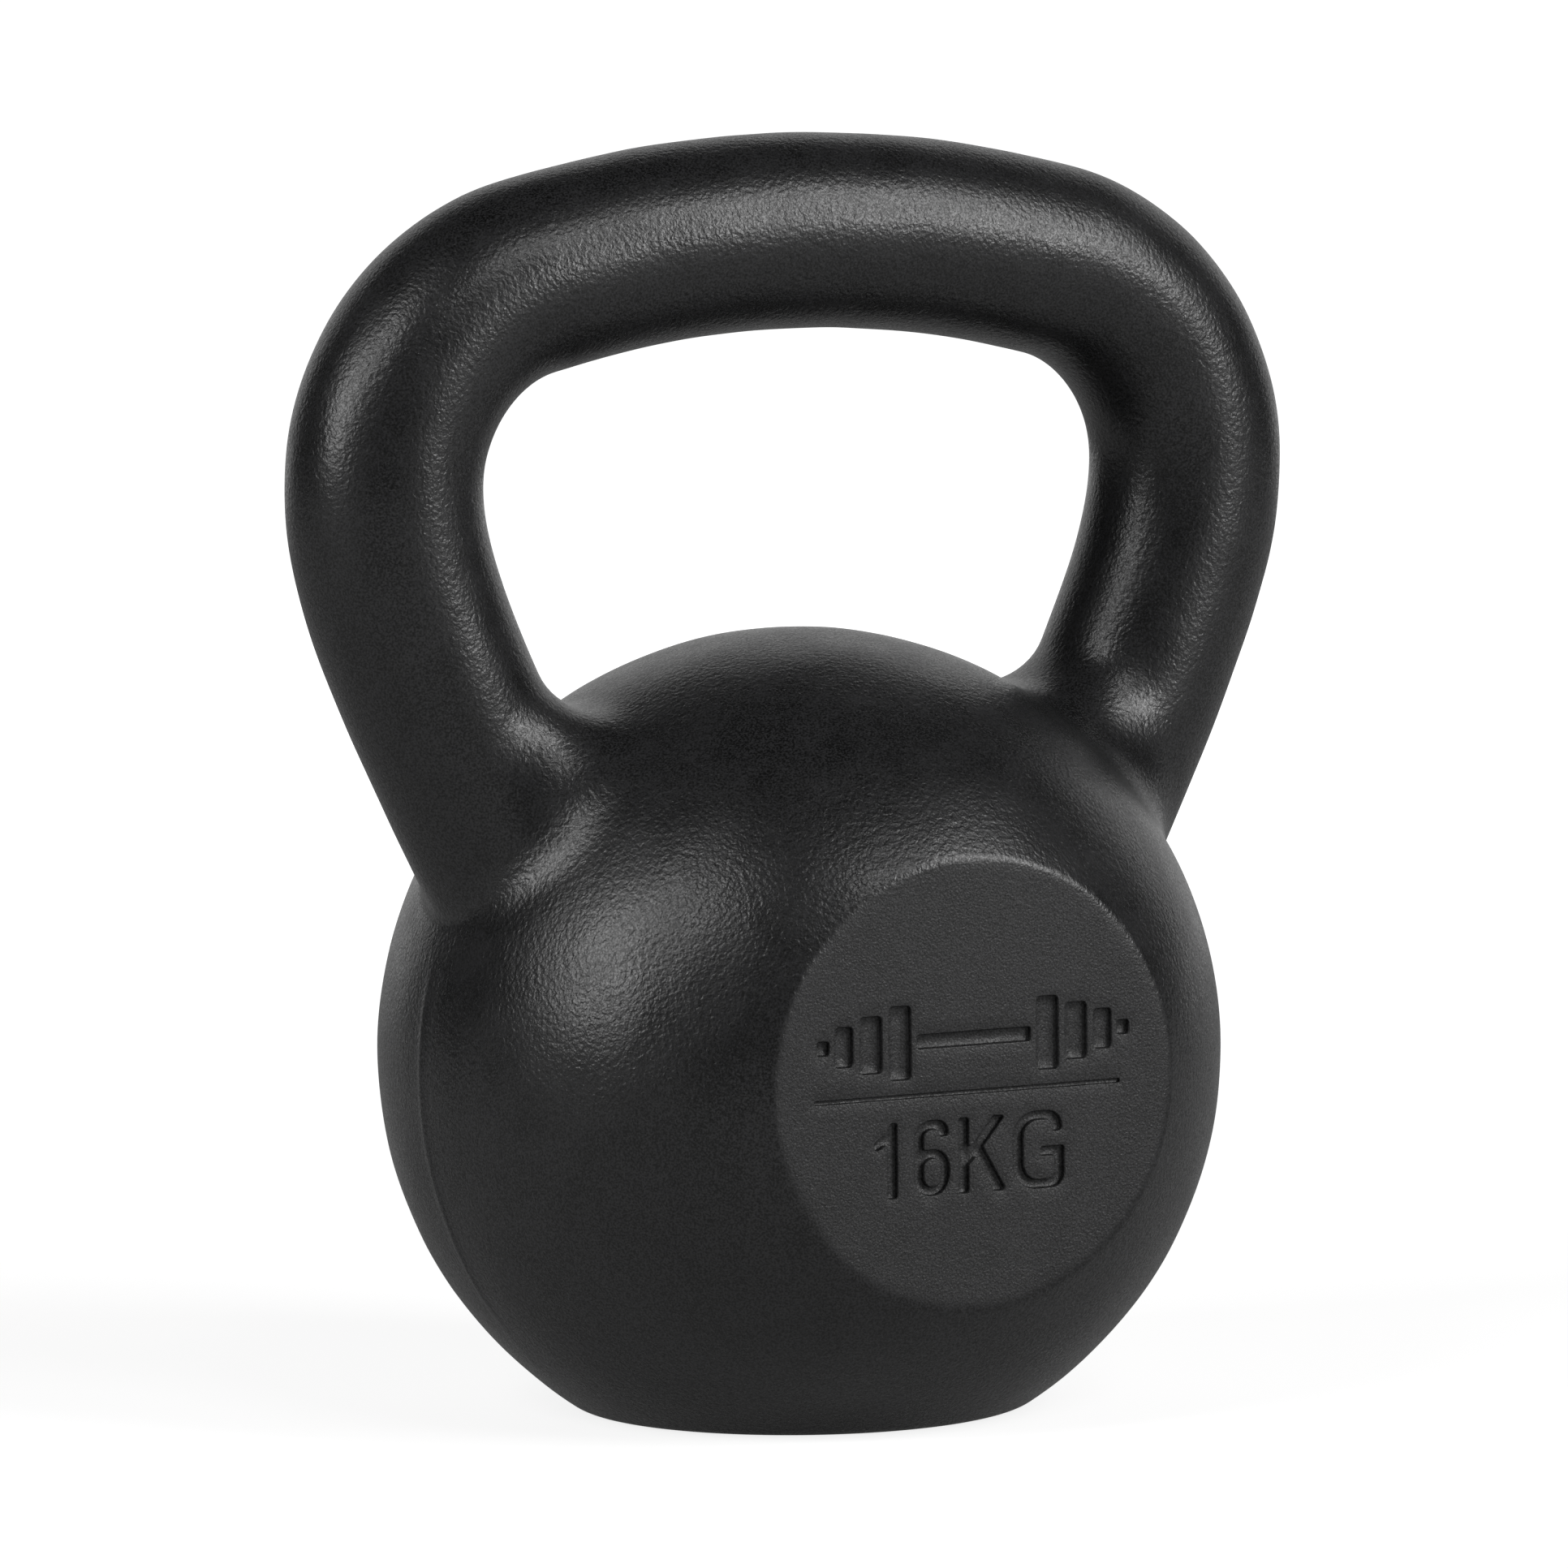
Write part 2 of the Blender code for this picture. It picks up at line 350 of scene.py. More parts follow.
class BellForm:
    """The ball with its flats: what its sizes give, and its distance in any direction."""

    def __init__(self, shape):
        self.radius = shape.bell_radius
        self.height = shape.bell_radius - shape.base_cut
        self.face = CASTING_HIGH.y
        self.face_edge = shape.face_edge
        self.foot_edge = shape.foot_edge
        self.centre = np.array([0.0, 0.0, self.height])
        self.face_rim = self.rim_radius(self.face, self.face_edge)
        self.foot_rim = self.rim_radius(self.height, self.foot_edge)
        self.face_start = math.atan2(self.face - self.face_edge, self.face_rim)
        self.foot_start = math.atan2(self.height - self.foot_edge, self.foot_rim)

    def rim_radius(self, flat, edge):
        """Radius of a flat's plain part: its edge's circle touches the ball from inside."""
        return math.sqrt((self.radius - edge) ** 2 - (flat - edge) ** 2)

    def eased(self, across, along, flat, edge, rim):
        """Distance to the surface round one flat, for directions across and along its axis.

        Low on the axis's side it is the ball's radius. Past the flat's distance over its
        rim it is the flat's distance over the cosine. Between them it is the far crossing
        of the line with the edge's circle.
        """
        turn = np.arctan2(along, across)
        reach = across * rim + along * (flat - edge)
        inside = reach**2 - rim**2 - (flat - edge) ** 2 + edge**2
        crossing = reach + np.sqrt(np.maximum(inside, 0.0))
        plain = flat / np.maximum(along, 1e-9)
        on_ball = turn < math.atan2(flat - edge, rim)
        on_edge = turn < math.atan2(flat, rim)
        return np.where(on_ball, self.radius, np.where(on_edge, crossing, plain))

    def surface(self, directions):
        """The point of the surface in each direction from the ball's centre."""
        x, y, z = np.moveaxis(directions, -1, 0)
        faces = self.eased(np.hypot(x, z), np.abs(y), self.face, self.face_edge, self.face_rim)
        foot = self.eased(np.hypot(x, y), -z, self.height, self.foot_edge, self.foot_rim)
        distance = np.minimum(faces, foot)
        return self.centre + directions * distance[..., None]


def bell_directions(form, detail):
    """Directions on a grid of circles round the Y axis, from the front flat to the back.

    A row's latitude is its angle from the XZ plane. The rows stand close on both rims and
    on the parting line, and a bell_step apart elsewhere.
    """
    face = form.face
    rim = form.face_rim
    plain = [math.atan2(face, rim - inset * MM) for inset in (3.6, 2.2, 1.1, 0.4)]
    edge = np.linspace(math.atan2(face, rim), form.face_start, RIM_ROWS)
    rows = int(form.face_start * form.radius / detail.bell_step)
    ball = np.linspace(form.face_start, 1.6 * MM / form.radius, rows)
    line = np.array([1.2, 0.9, 0.6, 0.3]) * MM / form.radius
    half = np.concatenate([plain, edge, ball[1:], line])
    back_flat = [math.atan2(face, inset) for inset in np.linspace(30.0, 3.0, 10) * MM]
    latitude = np.concatenate([-half, [0.0], half[::-1], back_flat])
    longitude = np.arange(detail.bell_columns) * FULL_TURN / detail.bell_columns
    latitude, longitude = np.meshgrid(latitude, longitude, indexing="ij")
    across = np.cos(latitude)
    return together(across * np.cos(longitude), np.sin(latitude), across * np.sin(longitude))


def inside_port(directions, axis, rim_directions, margin):
    """True where a direction lies within a port's rim, or within a margin of it.

    The rim is read as an angle from the port's axis at each turn round it.
    """
    axis = unit(np.asarray(axis, float))
    side = unit(np.cross(axis, [0.0, 1.0, 0.0]))
    other = np.cross(axis, side)

    def polar(vectors):
        turn = np.arctan2(vectors @ other, vectors @ side)
        return turn, np.arccos(np.clip(vectors @ axis, -1.0, 1.0))

    rim_turn, rim_angle = polar(rim_directions)
    order = np.argsort(rim_turn)
    turn, angle = polar(directions)
    rim = np.interp(turn, rim_turn[order], rim_angle[order], period=FULL_TURN)
    return angle < rim + margin


# The handle


def outward(along, angle):
    """Directions square to the bar; an angle of 0 faces away from the window."""
    level = np.cos(angle)
    return together(-level * along[..., 2], np.sin(angle), level * along[..., 0])


class HandleForm:
    """The bar's middle line on the right-hand side, and the fillet at its root."""

    def __init__(self, shape, bell):
        self.bell = bell
        self.bar = shape.bar_radius
        self.fillets = (shape.outer_fillet, shape.side_fillet, shape.inner_fillet)
        half_width = CASTING_HIGH.x - self.bar
        crest = CASTING_HIGH.z - self.bar
        span = shape.arch_radius - shape.shoulder_radius
        self.turn = math.asin((half_width - shape.shoulder_radius) / span)
        self.arch_radius = shape.arch_radius
        self.shoulder_radius = shape.shoulder_radius
        self.arch_centre = np.array([0.0, 0.0, crest - shape.arch_radius])
        self.shoulder_centre = self.arch_centre + span * np.array(
            [math.sin(self.turn), 0.0, math.cos(self.turn)]
        )
        start = self.shoulder_centre + np.array([shape.shoulder_radius, 0.0, 0.0])
        elevation = shape.root_elevation
        root = np.array([math.cos(elevation), 0.0, math.sin(elevation)])
        self.root_axis = root
        end = bell.centre + root * bell.radius
        lean = shape.root_lean
        self.inward = np.array([-math.sin(lean), 0.0, -math.cos(lean)])
        first = start - np.array([0.0, 0.0, shape.horn_top_reach])
        second = end - self.inward * shape.horn_root_reach
        self.controls = np.stack([start, first, second, end])

    def grip_rows(self, step):
        """Points and directions of the middle line over the arch, then the shoulder.

        Each is an arc; a point is the arc's centre and its radius times the sine and the
        cosine of its angle from upright.
        """
        arch_rows = int(self.turn * self.arch_radius / step)
        shoulder_turn = math.pi / 2.0 - self.turn
        shoulder_rows = int(shoulder_turn * (self.shoulder_radius + 0.5 * self.bar) / step)
        arch = np.linspace(0.0, self.turn, arch_rows + 1)
        shoulder = np.linspace(self.turn, math.pi / 2.0, shoulder_rows + 1)[1:]
        angle = np.concatenate([arch, shoulder])
        radius = np.where(angle <= self.turn, self.arch_radius, self.shoulder_radius)
        centre = np.where(
            (angle <= self.turn)[:, None], self.arch_centre, self.shoulder_centre
        )
        out = together(np.sin(angle), 0.0, np.cos(angle))
        along = together(np.cos(angle), 0.0, -np.sin(angle))
        return centre + radius[:, None] * out, along

    def horn(self, t):
        """Points and directions of the horn's middle line: a cubic curve, then a straight."""
        t = np.asarray(t)[..., None]
        s = 1.0 - t
        a, b, c, d = self.controls
        point = s**3 * a + 3.0 * s * s * t * b + 3.0 * s * t * t * c + t**3 * d
        slope = s * s * (b - a) + 2.0 * s * t * (c - b) + t * t * (d - c)
        past = t > 1.0
        point = np.where(past, d + self.inward * (t - 1.0) * self.bell.radius, point)
        slope = np.where(past, self.inward, slope)
        return point, unit(slope)

    def fillet_radius(self, angle):
        """The fillet's radius round the bar.

        The sides' radius counts by the sine's square. The outer and the inner radius share
        the rest by the cosine, so that each holds where the angle is 0 and half a turn.
        """
        outer, side, inner = self.fillets
        facing = 0.5 + 0.5 * np.cos(angle)
        in_plane = outer * facing + inner * (1.0 - facing)
        return side * np.sin(angle) ** 2 + in_plane * np.cos(angle) ** 2

    def resting_ball(self, angle):
        """Where a ball of the fillet's radius rests between the bar and the bell.

        Its centre is a fillet radius off both. The place along the horn is halved down
        until the centre is at the bell's radius and the fillet's from the bell's centre.
        """
        fillet = self.fillet_radius(angle)
        above = np.zeros_like(angle)
        below = np.full_like(angle, 2.0)
        for _ in range(40):
            t = 0.5 * (above + below)
            point, along = self.horn(t)
            ball = point + outward(along, angle) * (self.bar + fillet)[:, None]
            reach = np.linalg.norm(ball - self.bell.centre, axis=-1)
            far = reach > self.bell.radius + fillet
            above = np.where(far, t, above)
            below = np.where(far, below, t)
        return t, ball

    def surface(self, detail):
        """The right half of the bar as rows from the grip's middle to the bell.

        Over the grip and the horn a point is the middle line's point and the bar's radius
        times a direction square to it. Over the fillet it is the resting ball's centre and
        its radius times a direction that turns evenly from the bar to the bell.
        """
        angle = np.arange(detail.bar_columns) * FULL_TURN / detail.bar_columns
        middle, along = self.grip_rows(detail.bar_step)
        grip = middle[:, None] + self.bar * outward(along[:, None], angle)
        rest, ball = self.resting_ball(angle)
        length = np.linalg.norm(self.controls[3] - self.controls[0])
        rows = int(length / detail.bar_step)
        share = np.arange(1, rows + 1)[:, None] / rows
        point, slope = self.horn(share * rest)
        horn = point + self.bar * outward(slope, angle)
        to_bar = unit(horn[-1] - ball)
        to_bell = unit(self.bell.centre - ball)
        opening = np.arccos(np.clip(np.sum(to_bar * to_bell, axis=-1), -1.0, 1.0))[:, None]
        share = np.linspace(0.0, 1.0, FILLET_ROWS + 1)[1:, None, None]
        between = np.sin((1.0 - share) * opening) * to_bar + np.sin(share * opening) * to_bell
        radius = self.fillet_radius(angle)[:, None]
        fillet = ball + radius * between / np.sin(opening)
        return np.concatenate([grip, horn, fillet])


# The base and its bore


def base_profile(form):
    """Rows of (radius, height) from the ball's underside over the foot into the bore.

    The foot is an arc of the foot's radius, which touches the ball and the floor. The bore's
    mouth is chamfered, and the bore ends a hair above the shot.
    """
    bore = PLUG_HIGH.x + SEAT_CLEARANCE
    chamfer = BORE_CHAMFER
    top = SHOT_HIGH.z + SEAT_CLEARANCE
    tilt = np.linspace(math.radians(50.0), form.foot_start, 6)[:-1]
    ball = together(form.radius * np.cos(tilt), form.height - form.radius * np.sin(tilt))
    tilt = np.linspace(form.foot_start, math.pi / 2.0, RIM_ROWS)
    foot = together(
        form.foot_rim + form.foot_edge * np.cos(tilt), form.foot_edge * (1.0 - np.sin(tilt))
    )
    radius = np.linspace(form.foot_rim, bore + chamfer + 0.4 * MM, 13)[1:]
    flat = together(radius, 0.0)
    mouth = np.array(
        [
            [bore + chamfer + 0.15 * MM, 0.03 * MM],
            [bore + chamfer - 0.1 * MM, 0.15 * MM],
            [bore + 0.15 * MM, chamfer - 0.15 * MM],
            [bore, chamfer + 0.2 * MM],
        ]
    )
    height = np.linspace(chamfer + 0.2 * MM, top, 12)[1:]
    wall = together(bore, height)
    radius = np.linspace(bore, 3.0 * MM, 5)[1:]
    end = together(radius, top)
    return np.concatenate([ball, foot, flat, mouth, wall, end])


def turned(profile, columns):
    """A profile of (radius, height) turned round the Z axis, as rows by columns."""
    angle = np.arange(columns) * FULL_TURN / columns
    radius, height = profile[:, :1], profile[:, 1:]
    return together(radius * np.cos(angle), radius * np.sin(angle), height)


# The marks on the front face


def rounded_outline(corners, step=0.35):
    """A closed outline of straight sides and round corners, in millimetres.

    Each corner is (x, z, radius). Its arc touches both sides, so it starts the radius times
    the tangent of half the turn before the corner. The points run with the inside of what
    is cut on their left, or on their right where the outline is a hole's.
    """
    points = []
    count = len(corners)
    for i, (x, z, radius) in enumerate(corners):
        here = np.array([x, z])
        before = unit(here - np.array(corners[i - 1][:2]))
        after = unit(np.array(corners[(i + 1) % count][:2]) - here)
        bend = math.atan2(before[0] * after[1] - before[1] * after[0], before @ after)
        side = math.copysign(1.0, bend)
        start = here - before * radius * math.tan(abs(bend) / 2.0)
        normal = side * np.array([-before[1], before[0]])
        centre = start + normal * radius
        steps = max(3, int(abs(bend) * radius / step) + 1)
        angle = np.linspace(0.0, bend, steps + 1)[:, None]
        arm = -normal * radius
        turned_arm = np.array([-arm[1], arm[0]])
        points.append(centre + arm * np.cos(angle) + turned_arm * np.sin(angle))
    outline = np.concatenate(points)
    return even_sides(outline, 1.2)


def even_sides(outline, longest):
    """Adds points along the straight sides, so that none is longer than a limit."""
    sides = np.roll(outline, -1, axis=0) - outline
    lengths = np.linalg.norm(sides, axis=1)
    pieces = np.maximum(np.ceil(lengths / longest).astype(int), 1)
    start = np.repeat(np.arange(len(outline)), pieces)
    first = np.repeat(np.cumsum(pieces) - pieces, pieces)
    share = (np.arange(len(start)) - first) / pieces[start]
    return outline[start] + sides[start] * share[:, None]


def block(x, z, width, height, radius=0.55):
    """The corners of an upright block, anticlockwise."""
    left, right = x - width / 2.0, x + width / 2.0
    low, high = z - height / 2.0, z + height / 2.0
    places = [(left, low), (right, low), (right, high), (left, high)]
    return [(across, up, radius) for across, up in places]


def weight_mark():
    """The corners of 16KG, in millimetres from the face's centre: (outline, holes) a glyph."""
    end = 0.5
    nook = 0.35
    low, high = -19.5, -5.8
    one = [
        (-15.8, high, end), (-17.2, high, end), (-17.9, -7.3, nook), (-20.5, -9.2, end),
        (-20.5, -11.0, end), (-17.9, -9.7, nook), (-17.9, low, end), (-15.8, low, end),
    ]
    six = [
        (-5.35, -8.8, end), (-5.35, high, 2.4), (-12.5, high, 3.6), (-12.5, low, 3.6),
        (-5.2, low, 3.6), (-5.2, -11.1, 3.3), (-10.4, -11.1, nook), (-10.4, -7.6, 1.5),
        (-7.3, -7.6, 0.8), (-7.3, -9.0, end),
    ]
    six_hole = block(-8.7, -15.3, 3.5, 5.0, 1.7)
    kay = [
        (-3.35, high, end), (-3.35, low, end), (-1.2, low, end), (-1.2, -14.5, nook),
        (0.25, -12.95, nook), (3.85, low, end), (6.5, low, end), (1.75, -11.35, nook),
        (6.5, high, end), (3.7, high, end), (-1.2, -11.6, nook), (-1.2, high, end),
    ]
    gee = [
        (18.0, -9.3, end), (18.0, -5.6, 3.1), (7.75, -5.6, 4.7), (7.75, -19.7, 4.7),
        (18.4, -19.7, 2.6), (18.4, -12.1, end), (13.4, -12.1, end), (13.4, -13.9, end),
        (16.4, -13.9, nook), (16.4, -18.0, 1.5), (10.0, -18.0, 3.0), (10.0, -7.3, 3.0),
        (16.0, -7.3, 1.6), (16.0, -9.7, end),
    ]
    return [(one, []), (six, [six_hole]), (kay, []), (gee, [])]


def barbell_sign():
    """The corners of a plain barbell: its bar, and three plates and an end on either side."""
    level = 8.4
    blocks = [block(0.0, level, 23.4, 2.7)]
    for side in (-1.0, 1.0):
        for place, width, height in ((15.1, 4.6, 13.4), (21.0, 4.6, 10.4), (26.5, 3.8, 7.4)):
            blocks.append(block(side * place, level, width, height, 0.9))
        blocks.append(block(side * 30.7, level, 2.6, 2.7))
    return [(corners, []) for corners in blocks]


def ruled_line():
    """The corners of the thin line between the sign and the weight."""
    return [(block(-1.3, -1.25, 62.6, 0.85, 0.3), [])]


# A groove's wall from its lip to its floor: how far in from the outline, and how deep, both as
# shares of the groove's depth.
GROOVE_WALL = (
    (-0.16, 0.0), (-0.06, 0.02), (0.01, 0.1), (0.05, 0.3), (0.11, 0.75), (0.16, 0.92),
    (0.26, 1.0),
)


def wound(outline, clockwise):
    """The outline in the wanted sense; the sum of the cross products gives its own."""
    ahead = np.roll(outline, -1, axis=0)
    area = np.sum(outline[:, 0] * ahead[:, 1] - outline[:, 1] * ahead[:, 0])
    return outline[::-1] if (area < 0.0) != clockwise else outline


def inset_directions(outline):
    """At each point, the direction to the left that moves both of its sides by one unit.

    It is the sum of the two sides' left normals, divided by 1 plus their dot product.
    """
    side = unit(np.roll(outline, -1, axis=0) - outline)
    normal = together(-side[:, 1], side[:, 0])
    before = np.roll(normal, 1, axis=0)
    overlap = 1.0 + np.sum(normal * before, axis=-1, keepdims=True)
    return (normal + before) / np.maximum(overlap, 0.3)


def groove_rows(corners, is_hole, depth, form):
    """The wall's profile carried along an outline, as rows by columns of points.

    A point is the outline's point, moved in by the profile's inset along the inset
    direction and back from the face by the profile's depth.
    """
    outline = wound(rounded_outline(corners), is_hole) * MM
    inset = inset_directions(outline)
    wall = np.array(GROOVE_WALL) * depth
    flat = outline[None] + wall[:, :1, None] * inset[None]
    return together(flat[..., 0], wall[:, 1:] - form.face, flat[..., 1] + form.height)


def add_marks(work, form, depth):
    """Adds every groove's wall. Returns its rings in the face, and its rings in the floors."""
    face_rings = []
    floor_rings = []
    groups = [(weight_mark(), depth), (barbell_sign(), depth), (ruled_line(), 0.6 * depth)]
    for glyphs, deep in groups:
        for corners, holes in glyphs:
            outlines = [(corners, False)] + [(hole, True) for hole in holes]
            for outline, is_hole in outlines:
                wall = work.add_grid(groove_rows(outline, is_hole, deep, form))
                face_rings.append(wall[0])
                floor_rings.append(wall[-1])
    return face_rings, floor_rings


# The casting


def cast_unevenness(points):
    """Soft dents as a sum of plane waves, between -1 and 1.

    Each wave is the sine of a random direction's share of the place over a random length of
    9 to 26 mm, plus a random phase. The longer the wave, the more it counts.
    """
    random = np.random.default_rng(16)
    waves = 36
    directions = unit(random.normal(size=(waves, 3)))
    lengths = random.uniform(9.0, 26.0, waves) * MM
    phases = random.uniform(0.0, FULL_TURN, waves)
    weights = lengths / np.sqrt(np.sum(lengths**2))
    angles = points @ (directions * FULL_TURN / lengths[:, None]).T + phases
    return np.clip(0.7 * np.sin(angles) @ weights, -1.0, 1.0)


def settle_surface(mesh, shape, form):
    """Moves the smooth casting's points to their cast places, inwards or on to the ridge.

    A point moves along its normal by the dents' depth times a share between -1 and 0. The
    dents fade out on the flats, on the marks and in the bore. The parting ridge is a bell
    curve over the distance from the handle's plane, on the ball's sides below the roots.
    """
    points = read_points(mesh)
    normals = np.empty(len(points) * 3)
    mesh.vertex_normals.foreach_get("vector", normals)
    normals = normals.reshape(-1, 3)
    x, y, z = points.T
    from_face = form.face - np.abs(y)
    from_axis = np.hypot(x, z - form.height)
    flat = 1.0 - blend(from_axis, form.face_rim - 1.5 * MM, form.face_rim + 1.0 * MM)
    flat = flat * (from_face < 1.5 * MM)
    base = 1.0 - blend(z, 1.0 * MM, 8.0 * MM)
    bore = (np.hypot(x, y) < BORE_SURROUND) & (z < form.height)
    fade = (1.0 - flat) * (1.0 - base) * (1.0 - bore)
    dents = -0.5 * shape.dent_depth * (1.0 + cast_unevenness(points)) * fade
    off_centre = np.linalg.norm(points - form.centre, axis=1) - form.radius
    on_ball = 1.0 - blend(np.abs(off_centre), 0.3 * MM, 1.5 * MM)
    low = 1.0 - blend(z, form.height + 6.0 * MM, form.height + 24.0 * MM)
    high = blend(z, 8.0 * MM, 40.0 * MM)
    beside = blend(np.abs(x), 40.0 * MM, 60.0 * MM)
    ridge = np.exp(-((y / PARTING_WIDTH) ** 2)) * on_ball * low * high * beside
    height = dents + shape.parting_height * ridge * fade
    moved = points + normals * height[:, None]
    moved = np.clip(moved, np.array(CASTING_LOW), np.array(CASTING_HIGH))
    write_points(mesh, moved)
    return flat


def write_share(mesh, name, values):
    """Stores one number per vertex for the materials to read."""
    made = mesh.attributes.new(name, "FLOAT", "POINT")
    made.data.foreach_set("value", values.astype(np.float32))


def round_axis(form, axis):
    """Lays points of the ball flat round an axis, without a change of angles.

    A direction's part square to the axis is divided by 1 plus its part along the axis.
    """
    side = unit(np.cross(axis, [0.0, 1.0, 0.0]))
    other = np.cross(axis, side)

    def flatten(points):
        directions = unit(points - form.centre)
        square = together(directions @ side, directions @ other)
        return square / (1.0 + directions @ axis)[:, None]

    return flatten


def face_plan(points):
    return points[:, [0, 2]]


def face_filler(form):
    """Vertices to lie in the plain of the front face, in rows that are set off in turn."""
    step = 2.4 * MM

    def filler(flat, starts, ends):
        row = np.arange(-20, 21)
        across, up = np.meshgrid(row * step, row * step * math.sin(math.pi / 3.0))
        across = across + 0.5 * step * (row % 2)[:, None]
        places = together(across.ravel(), up.ravel() + form.height)
        places = places[enclosed(places, starts, ends)]
        nearest = np.linalg.norm(places[:, None] - flat[None], axis=-1).min(axis=1)
        places = places[nearest > 0.5 * step]
        return places, together(places[:, 0], -form.face, places[:, 1])

    return filler


def casting_bmesh(shape, detail):
    """The whole casting as one closed bmesh.

    The bell's grid leaves holes, a little wider than each patch that ends on the ball. Each
    patch's rim and its hole are then sewn together, and so are the marks and the face.
    """
    form = BellForm(shape)
    handle = HandleForm(shape, form)
    work = Patchwork()
    right = handle.surface(detail)
    left = right[::-1] * np.array([-1.0, 1.0, 1.0])
    bar = work.add_grid(np.concatenate([left[:-1], right]))
    base = work.add_grid(turned(base_profile(form), detail.base_columns))
    work.close_end(base[-1], (0.0, 0.0, SHOT_HIGH.z + SEAT_CLEARANCE))

    directions = bell_directions(form, detail)
    margin = 0.8 * detail.bell_step / form.radius
    root = handle.root_axis
    sides = [(bar[-1], root), (bar[0], root * np.array([-1.0, 1.0, 1.0]))]
    ports = sides + [(base[0], np.array([0.0, 0.0, -1.0]))]
    placed = work.gathered()
    keep = np.ones(directions.shape[:2], bool)
    for ring, axis in ports:
        rim = unit(placed[ring] - form.centre)
        keep &= ~inside_port(directions, axis, rim, margin)
    bell = work.add_grid(form.surface(directions), keep)
    edges = work.open_sides(work.faces[-1])
    work.close_end(bell[-1], form.centre + np.array([0.0, form.face, 0.0]))
    middles = unit(work.gathered()[edges].mean(axis=1) - form.centre)
    for ring, axis in ports:
        hole = edges[middles @ axis > math.cos(PORT_REACH)]
        sew(work, np.concatenate([hole, ring_sides(ring)]), round_axis(form, axis))

    face_rings, floor_rings = add_marks(work, form, shape.mark_depth)
    face_sides = [ring_sides(ring) for ring in [bell[0], *face_rings]]
    sew(work, np.concatenate(face_sides), face_plan, face_filler(form))
    sew(work, np.concatenate([ring_sides(ring) for ring in floor_rings]), face_plan)
    return work.to_bmesh(), form


class KETTLEBELL_OT_casting(bpy.types.Operator):
    """Makes the bell, the horns and the grip as one cast and coated surface"""

    bl_idname = "kettlebell.casting"
    bl_label = "Casting"

    def execute(self, context):
        shape = context.scene.kettlebell_shape
        bm, form = casting_bmesh(shape, context.scene.kettlebell_detail)
        coat = powder_coat(context.scene.kettlebell_finish)
        casting = finished_object("cast_body", bm, coat)
        flat = settle_surface(casting.data, shape, form)
        write_share(casting.data, "flat_face", flat)
        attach(casting, "root")
        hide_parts("bell_casting")
        return {"FINISHED"}


# The plug and the shot


def plug_profile():
    """Rows of (radius, height) of the steel disc, from the middle of its top round to below.

    Both edges are quarter arcs. The face below is raised by half of 1 minus the cosine of a
    turn for each ring.
    """
    radius = PLUG_HIGH.x
    low, high = PLUG_LOW.z, PLUG_HIGH.z
    edge = PLUG_CHAMFER
    turn = np.linspace(0.0, math.pi / 2.0, 7)
    top = together(radius - edge + edge * np.sin(turn), high - edge + edge * np.cos(turn))
    below = together(radius - edge + edge * np.cos(turn), low + edge - edge * np.sin(turn))
    rings = np.linspace(1.0 * MM, radius - edge, 40)[:-1]
    flat_top = together(rings[::3], high)
    groove = 0.5 * (1.0 - np.cos(FULL_TURN * rings / TURNING_PITCH))
    face = together(rings, low + TURNING_DEPTH * groove)
    return np.concatenate([flat_top, top, below, face[::-1]])


class KETTLEBELL_OT_plug(bpy.types.Operator):
    """Makes the coated steel disc that closes the bore"""

    bl_idname = "kettlebell.plug"
    bl_label = "Plug"

    def execute(self, context):
        work = Patchwork()
        rows = work.add_grid(turned(plug_profile(), 144))
        work.close_end(rows[0], (0.0, 0.0, PLUG_HIGH.z))
        work.close_end(rows[-1], (0.0, 0.0, PLUG_LOW.z + TURNING_DEPTH))
        coat = plug_coat(context.scene.kettlebell_finish)
        plug = finished_object("bore_plug", work.to_bmesh(), coat)
        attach(plug, "root")
        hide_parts("base_plug")
        return {"FINISHED"}


class KETTLEBELL_OT_shot(bpy.types.Operator):
    """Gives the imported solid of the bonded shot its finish"""

    bl_idname = "kettlebell.shot"
    bl_label = "Shot"

    def execute(self, context):
        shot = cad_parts["trim_shot"]
        shot.data.materials.clear()
        shot.data.materials.append(bonded_shot(context.scene.kettlebell_finish))
        return {"FINISHED"}


# The finishes


